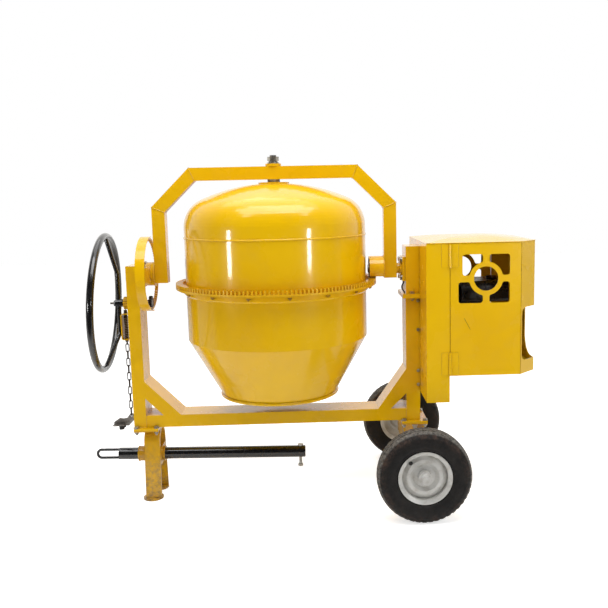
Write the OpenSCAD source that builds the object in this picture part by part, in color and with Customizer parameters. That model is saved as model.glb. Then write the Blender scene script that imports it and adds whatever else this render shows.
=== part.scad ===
// Towable concrete mixer: a bail-hung tilting drum on a two-wheeled frame, with an engine cabinet.
// X runs along the frame from the hand wheel to the cabinet, Y across it, Z up from the ground.
// Inside the modules, X is measured from the drum's axis; at_drum() moves it to the final place.

/* [Overall] */
// Distance from the middle of the footprint to the drum's axis
drum_offset = 137; // [120:1:160]
// Height of the trunnion axis on which the drum tilts
axis_z = 1076; // [1070:1:1082]

/* [Drum] */
// Outer radius of the drum shell
drum_r = 423; // [418:1:424]
// Thickness of the drum's sheet
drum_wall = 4; // [3:0.5:6]
// Height of the seam between shell and dome
seam_z = 1245; // [1200:1:1280]
// Height of the top of the dome
crown_z = 1488.5; // [1486:0.5:1489]
// Radius of the dome's crown
crown_r = 850; // [800:5:900]
// Radius of the dome's edge
knuckle_r = 140; // [130:1:150]
// Height of the underside of the ring gear
flange_z = 1012; // [1011:1:1013]
// Height at which the lower shell starts to taper
cone_z = 770; // [740:1:800]
// Height of the mouth
mouth_z = 500; // [490:1:520]
// Radius of the mouth
mouth_r = 275; // [260:1:290]
// Radius of the rolled rim at the mouth
lip_r = 8; // [6:0.5:10]
// Number of mixing blades
blade_count = 3; // [2:1:4]

/* [Ring gear] */
// Number of teeth on the ring gear
ring_teeth = 160; // [160:1:160]
// Outer radius of the ring gear
ring_r = 471; // [468:1:473]
// Number of ring gear bolts
ring_bolt_count = 16; // [8:4:24]
// Number of teeth on the drive pinion
pinion_teeth = 14; // [14:1:14]

/* [Yoke] */
// Half width of the yoke over its legs
yoke_half = 568.5; // [565:0.5:570]
// Height of the top of the yoke
yoke_top = 1564.5; // [1560:0.5:1568]
// Half width of the straight top bar
yoke_top_half = 390; // [370:1:400]
// Height at which the legs bend in
yoke_bend_z = 1388; // [1370:1:1400]
// Height of the bottom of the legs
yoke_foot_z = 1034; // [1030:1:1040]
// Width of the yoke's square tube
yoke_tube = 60; // [55:1:62]
// Wall of the yoke's square tube
yoke_wall = 5; // [3:0.5:6]

/* [Frame] */
// Width of the frame's tube along the frame
post_w = 58; // [56:1:60]
// Width of the frame's tube across the frame
frame_w = 141; // [120:1:160]
// Wall of the frame's tube
frame_wall = 4; // [3:0.5:6]
// Underside of the frame
frame_z = 350; // [345:1:355]
// Height of the left post
left_post_top = 1120; // [1116:1:1140]
// Height of the right post
right_post_top = 942; // [940:1:944]
// Height of the box that carries the right bearing
pedestal_top = 1183; // [1160:1:1190]

/* [Tilt drive] */
// Tooth size of the tilt gear: pitch diameter over number of teeth
tilt_module = 4.5; // [4.5:0.1:4.5]
// Number of teeth inside the tilt gear
tilt_teeth = 72; // [72:1:72]
// Number of teeth on the tilt pinion
tilt_pinion_teeth = 12; // [12:1:12]
// Radius of the hand wheel to the middle of its rim
wheel_r = 314; // [300:1:320]
// Radius of the hand wheel's rim tube
rim_tube_r = 16; // [12:0.5:18]
// Lean of the hand wheel from square to its shaft
wheel_lean = 3; // [0:0.5:3]

/* [Tilt lock] */
// Distance from the drum's axis to the lock plunger
lock_x = -722; // [-724:1:-720]
// Number of chain links
link_count = 10; // [8:1:12]
// Thickness of the chain's wire
link_wire = 4.5; // [3.5:0.5:5]

/* [Cabinet] */
// Distance from the drum's axis to the cabinet's inner wall
cabinet_x = 670; // [670:1:671]
// Distance from the drum's axis to the cabinet's far end
cabinet_end = 1173; // [1160:1:1180]
// Half width of the cabinet
cabinet_half = 291; // [285:1:295]
// Top of the cabinet's panels
cabinet_top = 1206; // [1200:1:1210]
// Bottom of the fixed panels
panel_z = 492; // [480:1:510]
// Bottom of the doors
door_z = 613; // [605:1:618]
// Distance from the drum's axis to the doors' hinges
hinge_x = 774; // [770:1:778]
// Size of the cut corners at the far end
corner_cut = 81; // [70:1:85]
// Thickness of the cabinet's sheet
sheet = 3; // [2:0.5:3]

/* [Wheels] */
// Distance between the middles of the tyres
track = 861; // [840:1:880]
// Radius of the tyres
tyre_r = 208.5; // [205:0.5:210]
// Width of the tyres
tyre_w = 113; // [105:1:116]
// Distance from the drum's axis to the axle
axle_x = 635; // [625:1:645]

/* [Tow pole] */
// Radius of the tow pole
pole_r = 28.5; // [27:0.5:29]
// Height of the pole in its socket
pole_z = 200; // [195:1:205]
// Slope of the stored pole
pole_slope = 1; // [0:0.1:1.2]
// Distance from the drum's axis to the free end of the pole
pole_end = 114; // [80:1:130]

/* [Hidden] */
$fn = 72;

// Running clearance of shafts in their bores, on the radius
run = 0.05;
// Clearance round bolts, on the radius
bolt_gap = 0.2;
plate = 8;

// Frame, from the outside faces of the posts
left_out = -694;
left_in = left_out + post_w;
right_in = 604;
right_out = 670;
beam_top = frame_z + post_w;
frame_half = frame_w / 2;
base_half = 96;
left_plate = [left_out + 2, -577];
right_plate = [580, 702];
base_bolt_y = 83;
base_bolt_r = 5.5;
pedestal_half = 98;
pedestal_bolt = [634, 84];
base_bolt_inset = 11;

// Shafts and bearings
trunnion_r = 25;
drive_r = 15;
sleeve_r = 25;
bearing_half = 56.5;
bearing_bolt = 42;
bearing_bolt_r = 6;
leg_in = yoke_half - yoke_tube;
boss_r = 55.5;

// Tilt gear set
tilt_pitch = tilt_module * tilt_teeth / 2;
tilt_pinion_pitch = tilt_module * tilt_pinion_teeth / 2;
tilt_tip = 0.8 * tilt_module;
tilt_thick = 6.3;
tilt_space = 7.6;
shaft_z = axis_z - tilt_pitch + tilt_pinion_pitch;
shaft_r = 12.5;
stub_r = 5;
gear_x = [-606, -591];
web_x = [gear_x[1], -584];
tilt_rim_r = tilt_pitch + 8.5;
hub_x = -750;
sleeve = [-14, 21];
kink = 140;
spoke_r = 9.5;
hub_r = 18.5;
rim_x = -813;
wheel_yaw = 2.9;
collar_r = 30;
collar_x = [-724, -704];
ratchet_count = 16;

// Drum drive
drive_module = 5.75;
pinion_pitch = drive_module * pinion_teeth / 2;
pinion_x = [439, 470];
tooth_top = axis_z - pinion_pitch + 1.5;
slot_w = 10.8;
slot_z = flange_z + 8;
flange_under = flange_z - 6;
flange_r = 460;
ring_bolt_circle = 446;
ring_bolt_r = 4.5;
ring_bolt_turn = -1.7;
hub_plate_r = 72;
big_pulley_r = 110;
small_pulley_r = 45;
groove = 12;
pulley_x = 716;
pulley_w = 42;
groove_w = 13.4;
groove_x = [3.4, 23];
belt_w = 12.8;
crank_z = 752;
tray_z = 646;

// Cabinet plan
fold_x = cabinet_end - corner_cut;
vent = [935, 1048];
vent_r = 53.7;
vent_ring = 75;
vent_strut = 14.5;
hinge_h = 102;
hinge_zs = [617, 1101];
hinge_y = cabinet_half + 6;
hinge_r = 6;
leaf_gap = 6.3;

// Lock
plunger_r = 8;
eye_z = 748;
pedal_pivot = [-702, 386];
lever = [-20.3, 5.4];
link_bottom = pedal_pivot[1] + lever[1];
link_gap = 0.4;
link_top = eye_z - 3.35;
link_inner = (link_top - link_bottom - link_wire + (link_count - 1) * link_gap) / link_count;
link_half_w = 9.5;

yellow = "gold";
steel = "silver";
black = "dimgray";

// ---------------------------------------------------------------- helpers

// Points along an arc, from angle a0 to angle a1
function arc(c, r, a0, a1, n = 8) =
    [for (i = [0:n]) let (a = a0 + (a1 - a0) * i / n) c + r * [cos(a), sin(a)]];

// Involute function, in degrees, of a pressure angle
function inv(a) = tan(a) * 180 / PI - a;

// Half the angle that a tooth spans at radius r, with thickness s at pitch radius p
function tooth_half(r, p, s) =
    let (base = p * cos(20), a = r > base ? acos(base / r) : 0)
    s / (2 * p) * 180 / PI + inv(20) - inv(a);

// Outline of a gear with one tooth pointing down
function gear_outline(n, p, s, root, tip) =
    [for (k = [0:n - 1], side = [-1, 1], i = [0:3])
        let (step = side < 0 ? i : 3 - i, r = root + (tip - root) * step / 3,
             a = -90 + 360 * k / n + side * tooth_half(r, p, s))
        r * [cos(a), sin(a)]];

// Extrudes a shape drawn in the YZ plane from x0 to x1
module along_x(x0, x1) translate([x0, 0, 0]) rotate([90, 0, 90]) linear_extrude(x1 - x0) children();

// Extrudes a shape drawn in the XZ plane from y0 to y1
module along_y(y0, y1) translate([0, y1, 0]) rotate([90, 0, 0]) linear_extrude(y1 - y0) children();

module at_drum() translate([-drum_offset, 0, 0]) children();

module block(x, y, z) translate([x[0], y[0], z[0]]) cube([x[1] - x[0], y[1] - y[0], z[1] - z[0]]);

// Round bar along X, centred on height z
module bar_x(x0, x1, r, z, y = 0) along_x(x0, x1) translate([y, z]) circle(r);

// Round bar along Z
module bar_z(x, y, z0, z1, r) translate([x, y, z0]) cylinder(r = r, h = z1 - z0);

// Rectangular tube section, drawn about its centre
module box_section(w, h, wall) {
    difference() {
        square([w, h], center = true);
        square([w - 2 * wall, h - 2 * wall], center = true);
    }
}

// Hexagonal bolt along +Z: washer and head above z = 0, shank below, and a nut under the grip
module bolt(r, shank, grip = 0) {
    cylinder(r = 2.2 * r, h = 0.4 * r);
    translate([0, 0, 0.4 * r]) cylinder(r = 1.9 * r, h = 1.3 * r, $fn = 6);
    translate([0, 0, -shank]) cylinder(r = r, h = shank);
    if (grip > 0) translate([0, 0, -grip - 1.6 * r]) cylinder(r = 1.9 * r, h = 1.6 * r, $fn = 6);
}

// Places copies at the four corners of a rectangle
module corners(dx, dy) for (x = [-dx, dx], y = [-dy, dy]) translate([x, y]) children();

// Polyhedron tube swept along a list of points
module swept(path, r, sides) {
    last = len(path) - 1;
    rings = [for (i = [0:last])
        let (t = path[min(i + 1, last)] - path[max(i - 1, 0)], d = t / norm(t),
             ref = abs(d[2]) > 0.8 ? [0, 1, 0] : [0, 0, 1],
             u = cross(ref, d) / norm(cross(ref, d)), v = cross(d, u))
        for (k = [0:sides - 1]) let (a = 360 * k / sides) path[i] + r * (cos(a) * u + sin(a) * v)];
    walls = [for (i = [0:last - 1], k = [0:sides - 1]) let (m = (k + 1) % sides)
        [i * sides + k, (i + 1) * sides + k, (i + 1) * sides + m, i * sides + m]];
    ends = [[for (k = [0:sides - 1]) k], [for (k = [sides - 1:-1:0]) last * sides + k]];
    polyhedron(rings, concat(walls, ends), convexity = 6);
}

// ---------------------------------------------------------------- frame

module base_beam() color(yellow)
    along_x(left_in, right_in) translate([0, frame_z + post_w / 2]) box_section(frame_w, post_w, frame_wall);

// Holes for the four bolts of a bearing, as a pattern in the YZ plane
module bearing_holes(x0, x1)
    along_x(x0, x1) translate([0, axis_z])
        corners(bearing_bolt, bearing_bolt) circle(bearing_bolt_r + bolt_gap);

module base_plate(x, z) {
    difference() {
        block(x, [-base_half, base_half], [z, z + plate]);
        base_holes(x, z);
    }
}

module base_holes(x, z)
    for (px = [x[0] + base_bolt_inset, x[1] - base_bolt_inset], py = [-base_bolt_y, base_bolt_y])
        bar_z(px, py, z - 1, z + plate + 1, base_bolt_r + bolt_gap);

module pedestal_holes(z)
    for (side = [-1, 1])
        bar_z(pedestal_bolt[0], side * pedestal_bolt[1], z - 1, z + 11, base_bolt_r + bolt_gap);

module left_post() color(yellow) {
    difference() {
        union() {
            translate([(left_out + left_in) / 2, 0, frame_z])
                linear_extrude(left_post_top - frame_z) box_section(post_w, frame_w, frame_wall);
            block([left_out, left_in], [-frame_half, frame_half],
                [left_post_top - frame_wall, left_post_top]);
            bar_x(left_out - 6, left_in + 6, 22, shaft_z);
        }
        bar_x(left_out - 7, left_in + 7, shaft_r + run, shaft_z);
        bar_x(left_in - frame_wall - 1, left_in + 1, trunnion_r + 5, axis_z);
        bearing_holes(left_in - frame_wall - 1, left_in + 1);
    }
    base_plate(left_plate, frame_z - plate);
    for (side = [-1, 1]) along_y(side * 9 - 3, side * 9 + 3) difference() {
        polygon(concat([[left_out, pedal_pivot[1] - 16], [left_out, pedal_pivot[1] + 16]],
            arc(pedal_pivot, 8, 120, 240)));
        translate(pedal_pivot) circle(4);
    }
}

module right_post() color(yellow) {
    translate([(right_in + right_out) / 2, 0, frame_z]) linear_extrude(right_post_top - frame_z)
        box_section(right_out - right_in, frame_w, frame_wall);
    base_plate(right_plate, frame_z - plate);
    difference() {
        block([588, right_out], [-pedestal_half, pedestal_half], [right_post_top, right_post_top + 10]);
        pedestal_holes(right_post_top);
    }
}

// Braces at 45 degrees, with the outline of each in the XZ plane
module frame_braces() color(yellow) {
    cut = post_w * sqrt(2);
    reach = 165;
    along_y(-frame_half, frame_half)
        polygon([[left_in, beam_top + reach], [left_in, beam_top + reach - cut],
            [left_in + reach - cut, beam_top], [left_in + reach, beam_top]]);
    reach_r = 192;
    along_y(-frame_half, frame_half)
        polygon([[right_in, beam_top + reach_r], [right_in, beam_top + 74],
            [right_in - 74, beam_top], [right_in - 136, beam_top]]);
}

// Bent flat bar under the left post, with two feet, a top plate and two webs for the socket
module stand_leg() color(yellow) {
    strip = [-652, -578];
    bend_r = 72;
    bend_z = 266;
    thick = 12;
    foot = 92;
    difference() {
        union() {
            along_x(strip[0], strip[1]) difference() {
                polygon(concat([[foot, 6]], arc([0, bend_z], bend_r, 0, 180, 20), [[-foot, 6]]));
                polygon(concat([[foot - thick, 5]], arc([0, bend_z], bend_r - thick, 0, 180, 20),
                    [[thick - foot, 5]]));
            }
            for (x = [strip[0], strip[1] - 6]) along_x(x, x + 6)
                polygon([[-66, 160], [66, 160], [62, 240], [-62, 240]]);
        }
        pole_frame() bar_x(-720, -540, 35.5, 0);
    }
    base_plate(left_plate, frame_z - 2 * plate);
    for (side = [-1, 1]) bar_z(-621, side * 68, 0, 8, 47);
}

// Moves to the pole's own line, with X along the pole and Z = 0 on its axis
module pole_frame() translate([-635, 0, pole_z]) rotate([0, pole_slope, 0]) translate([635, 0, 0]) children();

module tow_socket() color(yellow)
    pole_frame() along_x(-694, -566) difference() {
        circle(35.5);
        circle(pole_r + 1);
    }

module axle_bracket() color(yellow) {
    top = frame_z - 2 * plate;
    base_plate(right_plate, top);
    axle_top = tyre_r + 30;
    along_y(-60, 60) difference() {
        polygon([[584, top], [698, top], [axle_x + 34, axle_top], [axle_x - 34, axle_top]]);
        polygon([[592, top + 1], [690, top + 1], [axle_x + 27, axle_top - 1], [axle_x - 27, axle_top - 1]]);
    }
}

module axle() color(yellow) {
    along_y(-330, 330) translate([axle_x, tyre_r]) box_section(60, 60, 5);
    for (side = [0, 1]) mirror([0, side, 0]) {
        along_y(330, 340) translate([axle_x, tyre_r]) square(60, center = true);
        along_y(340, 476) translate([axle_x, tyre_r]) circle(shaft_r);
    }
}

module bearing_pedestal() color(yellow) {
    foot = right_post_top + 10;
    difference() {
        block([588, right_out], [-pedestal_half, pedestal_half], [foot, foot + 10]);
        pedestal_holes(foot);
    }
    difference() {
        union() {
            translate([639, 0, foot + 10])
                linear_extrude(pedestal_top - foot - 10) box_section(66, frame_w, 6);
            block([606, right_out], [-frame_half, frame_half], [pedestal_top - 6, pedestal_top]);
        }
        block([right_out, right_out + 5], [-frame_half - 1, frame_half + 1], [foot, pedestal_top + 1]);
        bar_x(605, right_out + 1, sleeve_r + 3, axis_z);
        bearing_holes(605, 613);
    }
    block([right_out - 4, right_out], [-frame_half + 6, -36], [foot + 10, pedestal_top - 6]);
    block([right_out - 4, right_out], [36, frame_half - 6], [foot + 10, pedestal_top - 6]);
}

module bearing(flange, boss, bore) {
    along_x(flange[0], flange[1]) translate([0, axis_z]) difference() {
        square(2 * bearing_half, center = true);
        circle(bore);
        corners(bearing_bolt, bearing_bolt) circle(bearing_bolt_r + bolt_gap);
    }
    along_x(boss[0], boss[1]) translate([0, axis_z]) difference() {
        circle(46);
        circle(bore);
    }
}

module trunnion_bearings() color(yellow) {
    bearing([left_in, left_in + 14], [left_in + 14, gear_x[0] - 2], trunnion_r + run);
    bearing([592, 606], [584, 592], sleeve_r + run);
}

module frame_bolts() color(steel) {
    for (ends = [left_plate, right_plate])
        for (x = [ends[0] + base_bolt_inset, ends[1] - base_bolt_inset], y = [-base_bolt_y, base_bolt_y])
            translate([x, y, frame_z]) bolt(base_bolt_r, 2 * plate + 16, 2 * plate);
    for (side = [-1, 1]) translate([pedestal_bolt[0], side * pedestal_bolt[1], right_post_top + 20])
        bolt(base_bolt_r, 34, 20);
    for (y = [-bearing_bolt, bearing_bolt], z = [-bearing_bolt, bearing_bolt]) {
        translate([left_in + 14, y, axis_z + z]) rotate([0, 90, 0]) bolt(bearing_bolt_r, 18.5);
        translate([592, y, axis_z + z]) rotate([0, -90, 0]) bolt(bearing_bolt_r, 24);
    }
}

// Curved band over the operator's side of the tilt gear
module tilt_guard() color(yellow) {
    inner = tilt_rim_r + 2;
    along_x(left_in + 8, -585) polygon(concat(
        arc([0, axis_z], inner + 3, 86, 274, 40), arc([0, axis_z], inner, 274, 86, 40)));
    reach = inner * cos(12) + 1;
    rise = axis_z + inner * sin(12);
    along_x(left_in, left_in + 12) polygon([[12 - frame_half, 1090], [12 - frame_half, 1112],
        [-reach, rise + 12], [-reach, rise - 10]]);
}

// Channel on the post that holds the plunger's spring
module lock_housing() color(yellow) {
    out = lock_x - 17;
    low = 767;
    top = 893;
    difference() {
        along_y(-32, 32) polygon(concat([[left_out, low]], arc([out + 10, low + 10], 10, 270, 180, 5),
            arc([out + 10, top - 10], 10, 180, 90, 5), [[left_out, top], [left_out, top - 4]],
            arc([out + 10, top - 10], 6, 90, 180, 5), arc([out + 10, low + 10], 6, 180, 270, 5),
            [[left_out, low + 4]]));
        bar_z(lock_x, 0, low - 1, top + 1, plunger_r + run);
    }
}

// Short grease line from the right bearing down to the pedestal's foot
module grease_hose() color(black)
    swept([[599, -50, axis_z - bearing_half - 0.1], [598, -50, 1011], [592, -52, 1003], [589, -54, 994],
        [590, -56, 984], [595, -57, 976], [600, -58, 969], [601, -58, right_post_top + 20.1]], 3.5, 8);

// ---------------------------------------------------------------- tilt drive

// Rim a little out of true, and one bent bar across it, welded to a hub sleeve
module hand_wheel() color(black)
    translate([hub_x, 0, shaft_z]) difference() {
        dish = rim_x - hub_x;
        union() {
            rotate([0, wheel_lean, wheel_yaw]) translate([dish, 0, 0]) rotate([0, 90, 0]) rotate([0, 0, 77])
                rotate_extrude() translate([wheel_r, 0]) circle(rim_tube_r, $fn = 32);
            bar_z(0, 0, -kink, kink, spoke_r);
            for (side = [-1, 1]) {
                run_x = dish * cos(wheel_lean) + side * wheel_r * sin(wheel_lean);
                rise = side * wheel_r * cos(wheel_lean) - dish * sin(wheel_lean) - side * kink;
                translate([0, 0, side * kink]) sphere(spoke_r);
                translate([0, 0, side * kink]) rotate([0, atan2(run_x, rise), 0])
                    cylinder(r = spoke_r, h = norm([run_x, rise]));
            }
            bar_x(sleeve[0], sleeve[1], hub_r, 0);
        }
        bar_x(-40, 40, shaft_r + bolt_gap, 0);
    }

module hand_wheel_nut() color(black) {
    along_x(hub_x + sleeve[0] - 8, hub_x + sleeve[0] - 1.1) translate([0, shaft_z]) difference() {
        circle(hub_r - 3, $fn = 6);
        circle(stub_r + 0.02);
    }
}

// Shaft with the toothed lock collar
module tilt_shaft() color(steel) {
    bar_x(hub_x + sleeve[0] - 1, gear_x[1] - 0.5, shaft_r, shaft_z);
    bar_x(-790, hub_x + sleeve[0] - 1, stub_r, shaft_z);
    along_x(collar_x[0], collar_x[1]) translate([0, shaft_z]) difference() {
        circle(collar_r);
        circle(shaft_r + 0.02);
        for (k = [0:ratchet_count - 1]) rotate(k * 360 / ratchet_count)
            translate([0, -collar_r]) square([6, 9], center = true);
    }
}

module tilt_pinion() color(steel)
    along_x(gear_x[0] + 0.5, gear_x[1] - 0.5) translate([0, shaft_z]) difference() {
        polygon(gear_outline(tilt_pinion_teeth, tilt_pinion_pitch, tilt_thick,
            tilt_pinion_pitch - 1.25 * tilt_tip, tilt_pinion_pitch + tilt_tip));
        circle(shaft_r + 0.02);
    }

// Ring with inside teeth, and a hub with a flat bar that pass behind the pinion
module tilt_gear() color(yellow) {
    along_x(gear_x[0], gear_x[1]) translate([0, axis_z]) difference() {
        circle(tilt_rim_r);
        polygon(gear_outline(tilt_teeth, tilt_pitch, tilt_space,
            tilt_pitch - tilt_tip, tilt_pitch + 1.4 * tilt_tip));
    }
    along_x(gear_x[0], web_x[1]) translate([0, axis_z]) difference() {
        circle(boss_r);
        circle(trunnion_r + 0.02);
    }
    along_x(web_x[0], web_x[1]) translate([0, axis_z]) difference() {
        intersection() {
            circle(tilt_rim_r);
            square([2 * tilt_rim_r, 1.5 * boss_r], center = true);
        }
        circle(boss_r - 5);
    }
}

// Spring-loaded pin that enters the lock collar, with an eye for the chain
module lock_plunger() color(steel) {
    bar_z(lock_x, 0, eye_z + 7, shaft_z - collar_r - 4, plunger_r);
    bar_z(lock_x, 0, eye_z + 7, shaft_z - collar_r - 1, 2.8);
    bar_z(lock_x, 0, 872, 876, 11);
    translate([lock_x, 0, eye_z]) rotate([0, 90, 0]) rotate_extrude() translate([8, 0]) circle(2, $fn = 24);
}

module lock_spring() color(steel) {
    turns = 12;
    start = 772.5;
    height = 97.5;
    coil_r = plunger_r + 3;
    swept([for (i = [0:turns * 10]) let (a = 36 * i)
        [lock_x + coil_r * cos(a), coil_r * sin(a), start + height * i / (turns * 10)]], 1.6, 6);
}

// One link, long way along Z
module link(half) {
    for (side = [-1, 1]) {
        translate([side * (link_half_w - link_wire / 2), 0, -(half - link_half_w)])
            cylinder(r = link_wire / 2, h = 2 * (half - link_half_w), $fn = 24);
        translate([0, 0, side * (half - link_half_w)]) rotate([side > 0 ? 90 : -90, 0, 0])
            rotate_extrude(angle = 180) translate([link_half_w - link_wire / 2, 0])
                circle(link_wire / 2, $fn = 24);
    }
}

module lock_chain() color("darkslategray")
    for (k = [0:link_count - 1])
        translate([lock_x, 0, link_bottom + (link_wire + link_inner) / 2 + k * (link_inner - link_gap)])
            rotate([0, 0, k % 2 == 0 ? 90 : 0]) link(link_inner / 2 + link_wire);

// Bent lever with a wide tread, and the pin it turns on
module foot_pedal() color("darkgray") {
    hole = pedal_pivot + lever;
    along_y(-4, 4) difference() {
        polygon(concat(arc(pedal_pivot, 7, -70, 60, 6), [[-716, 402], [-728, 400], [-738, 388]],
            arc([-760, 424], 46, -60, -112, 6), [[-806, 362], [-807, 354], [-798, 348], [-736, 342]]));
        translate(hole) circle(5);
    }
    block([-806, -754], [-28, -4], [347, 353]);
    block([-806, -754], [4, 28], [347, 353]);
    along_y(-14, 14) translate(pedal_pivot) circle(4 - run);
}

module pedal_pad() color("black") {
    for (side = [-1, 1]) bar_z(-767, side * 16.5, 330, 347, 12);
}

// ---------------------------------------------------------------- yoke

// Corners of the yoke's right half at a distance in from its outside face
function yoke_path(d) = let (k = d * tan(22.5))
    [[yoke_half - d, yoke_foot_z], [yoke_half - d, yoke_bend_z - k], [yoke_top_half - k, yoke_top - d]];

// A tube of the yoke between corners i and i + 1
module yoke_piece(i) {
    outer = yoke_path(0);
    inner = yoke_path(yoke_tube);
    near = yoke_path(yoke_wall);
    far = yoke_path(yoke_tube - yoke_wall);
    half = yoke_tube / 2;
    difference() {
        along_y(-half, half) polygon([outer[i], outer[i + 1], inner[i + 1], inner[i]]);
        along_y(yoke_wall - half, half - yoke_wall) polygon([near[i], near[i + 1], far[i + 1], far[i]]);
    }
}

module yoke_legs() color(yellow) {
    difference() {
        yoke_piece(0);
        bar_x(leg_in - 1, yoke_half + 1, sleeve_r + 0.02, axis_z);
    }
    mirror([1, 0, 0]) yoke_piece(0);
}

module yoke_shoulders() color(yellow)
    for (side = [0, 1]) mirror([side, 0, 0]) yoke_piece(1);

module yoke_top_bar() color(yellow) {
    outer = yoke_path(0)[2];
    inner = yoke_path(yoke_tube)[2];
    near = yoke_path(yoke_wall)[2];
    far = yoke_path(yoke_tube - yoke_wall)[2];
    half = yoke_tube / 2;
    difference() {
        union() {
            difference() {
                along_y(-half, half) polygon([[-outer[0], outer[1]], outer, inner, [-inner[0], inner[1]]]);
                along_y(yoke_wall - half, half - yoke_wall)
                    polygon([[-near[0], near[1]], near, far, [-far[0], far[1]]]);
            }
            bar_z(0, 0, yoke_top, yoke_top + 12, 37);
        }
        bar_z(0, 0, yoke_top - yoke_tube - 1, yoke_top + 13, drive_r + bolt_gap);
    }
}

module left_trunnion() color(yellow) {
    bar_x(left_in - frame_wall, web_x[1], trunnion_r, axis_z);
    bar_x(web_x[1], -yoke_half, boss_r, axis_z);
}

// Hollow trunnion that carries the drive shaft through the yoke's leg
module right_trunnion() color(yellow)
    along_x(490, right_out - 6) translate([0, axis_z]) difference() {
        circle(sleeve_r);
        circle(drive_r + run);
    }

// Hood over the drive pinion, open below where it meets the ring gear
module pinion_guard() color(yellow) {
    hood_r = 60;
    start = asin((tooth_top + 6 - axis_z) / hood_r);
    along_x(pinion_x[0], leg_in) translate([0, axis_z]) difference() {
        polygon(arc([0, 0], hood_r, start, 180 - start, 40));
        circle(hood_r - 4);
        translate([-80, -80]) square([160, 80 + tooth_top + 6 - axis_z]);
    }
    along_x(leg_in - 5, leg_in) translate([0, axis_z]) difference() {
        polygon(arc([0, 0], hood_r - 2, start, 180 - start, 40));
        circle(sleeve_r + 0.02);
    }
}

module drum_spindle() color(steel) {
    cylinder_stack = [[1326, 1339.5, 30], [1339.5, 1491.5, 20], [1491.5, yoke_top - yoke_tube, 29],
        [yoke_top - yoke_tube, yoke_top + 51, drive_r]];
    for (s = cylinder_stack) bar_z(0, 0, s[0], s[1], s[2]);
}

// Lock washer and hexagonal nut on top of the yoke
module spindle_nut() color(steel)
    difference() {
        union() {
            bar_z(0, 0, yoke_top + 12, yoke_top + 18, 28);
            bar_z(0, 0, yoke_top + 18, yoke_top + 25, 22);
            translate([0, 0, yoke_top + 25]) cylinder(r = 27, h = 19, $fn = 6);
        }
        bar_z(0, 0, yoke_top, yoke_top + 60, drive_r + 0.02);
    }

// ---------------------------------------------------------------- drum

// Outside of the dome and upper shell at a depth t below the surface, as [radius, height]
function dome_profile(t) =
    let (turn = acos((drum_r - knuckle_r) / (crown_r - knuckle_r)), crown = [0, crown_z - crown_r],
         knuckle = crown + (crown_r - knuckle_r) * [cos(turn), sin(turn)],
         edge = acos(hub_plate_r / (crown_r - t)))
    concat([[drum_r - t, flange_z]], arc(knuckle, knuckle_r - t, 0, turn, 12),
        arc(crown, crown_r - t, turn + 1, edge, 9));

function reversed(v) = [for (i = [len(v) - 1:-1:0]) v[i]];

module drum_bowl() color(yellow) {
    rotate_extrude() polygon(concat(dome_profile(0), reversed(dome_profile(drum_wall))));
    rotate_extrude() translate([drum_r, seam_z]) intersection() {
        circle(4, $fn = 24);
        translate([0, -4]) square([4, 8]);
    }
}

// Lower shell: flange with a stiffening band, straight wall, cone and rolled mouth
module drum_cone() color(yellow) {
    t = drum_wall;
    band = drum_r + 9;
    difference() {
        rotate_extrude() polygon([[mouth_r - 3, mouth_z], [drum_r, cone_z], [drum_r, flange_under - 27],
            [band, flange_under - 19], [band, flange_under], [flange_r, flange_under], [flange_r, flange_z],
            [drum_r - t, flange_z], [drum_r - t, cone_z + 1], [mouth_r - 3 - t, mouth_z]]);
        ring_bolt_places() bar_z(0, 0, flange_under - 1, flange_z + 1, ring_bolt_r + bolt_gap);
    }
    rotate_extrude() translate([mouth_r, mouth_z]) circle(lip_r, $fn = 32);
}

module ring_bolt_places()
    for (k = [0:ring_bolt_count - 1])
        rotate((k + 0.5) * 360 / ring_bolt_count + ring_bolt_turn)
            translate([ring_bolt_circle, 0, 0]) children();

module ring_gear() color(yellow) {
    difference() {
        translate([0, 0, flange_z]) linear_extrude(slot_z - flange_z) difference() {
            circle(ring_r, $fn = 180);
            circle(drum_r + 0.02);
        }
        ring_bolt_places() bar_z(0, 0, flange_z - 1, slot_z - 3, ring_bolt_r + bolt_gap);
    }
    tooth_in = 438;
    tooth_out = ring_r - 0.5;
    step = 360 / ring_teeth;
    in_half = tooth_in * sin(step / 2) - slot_w / 2;
    out_half = ring_r * sin(step / 2) - slot_w / 2;
    translate([0, 0, slot_z]) linear_extrude(tooth_top - slot_z)
        for (k = [0:ring_teeth - 1]) rotate((k + 0.5) * step)
            polygon([[tooth_in, -in_half], [tooth_in, in_half],
                [tooth_out, out_half], [tooth_out, -out_half]]);
}

// Bolts through the flange, each with its nut and the end of its shank underneath
module ring_bolts() color(steel)
    ring_bolt_places() {
        translate([0, 0, flange_under - 9]) cylinder(r = 9, h = 9, $fn = 6);
        bar_z(0, 0, flange_under - 13, slot_z - 3.5, ring_bolt_r);
    }

// Paddles whose outer edges follow the inside of the shell
module mixing_blades() color(yellow)
    intersection() {
        for (k = [0:blade_count - 1]) rotate(k * 360 / blade_count + 20) {
            translate([drum_r - 100, 0, 830]) rotate([24, 0, 0]) cube([200, 6, 330], center = true);
        }
        rotate_extrude() polygon([[300, 640], [345.6, 640], [drum_r - drum_wall - 0.1, cone_z + 2],
            [drum_r - drum_wall - 0.1, 948], [300, 948]]);
    }

module drum_hub() color(yellow)
    difference() {
        union() {
            bar_z(0, 0, 1340, 1478, 45);
            bar_z(0, 0, 1477.6, 1491, hub_plate_r);
        }
        bar_z(0, 0, 1339, 1492, 20 + run);
    }

// ---------------------------------------------------------------- drum drive

module drive_shaft() color(steel) {
    bar_x(pinion_x[0] - 4, pulley_x + pulley_w + 12, drive_r, axis_z);
    bar_x(pinion_x[0] - 6, pinion_x[0] - 0.2, 19, axis_z);
}

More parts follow.
